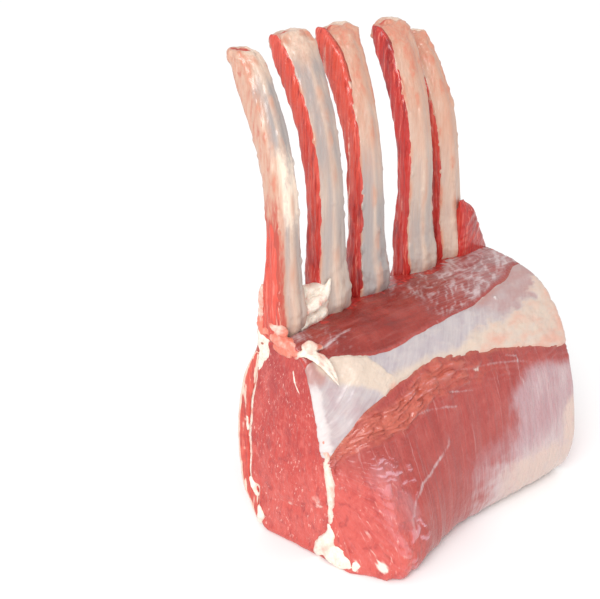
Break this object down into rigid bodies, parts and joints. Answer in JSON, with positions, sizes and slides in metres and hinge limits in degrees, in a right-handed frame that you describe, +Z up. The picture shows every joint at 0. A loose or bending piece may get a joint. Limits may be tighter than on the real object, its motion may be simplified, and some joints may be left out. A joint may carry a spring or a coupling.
{
  "type": "rack of lamb",
  "caption": "Raw French-trimmed lamb rack on its chine edge: rounded eye of meat with silverskin and bare curved ribs standing up.",
  "frame": {"origin": "middle of the bounding box, on the flat underside that the rack rests on", "axes": "+X along the rack from the near cut face to the far one, +Y towards the chest side, -Y towards the silverskin side, +Z up along the ribs"},
  "size_m": [0.1114, 0.0752, 0.1631],
  "materials": {
    "meat": "wet raw red meat with fine pale fibre",
    "rib_meat": "wet dark red meat between the ribs",
    "fat": "soft cream fat",
    "silverskin": "thin bluish white membrane, satin",
    "bone": "scraped ivory bone, moist"
  },
  "bodies": {
    "root": {"loin": "meat", "silverskin": "silverskin", "fat_seam": "fat", "rib_wall": "rib_meat", "chine_fat": "fat", "rib_1": "bone", "rib_2": "bone", "rib_3": "bone", "rib_4": "bone", "rib_5": "bone", "rib_meat_1": "rib_meat", "rib_meat_2": "rib_meat", "rib_meat_3": "rib_meat", "rib_meat_4": "rib_meat", "rib_meat_5": "rib_meat", "end_flap": "rib_meat"}
  },
  "joints": []
}
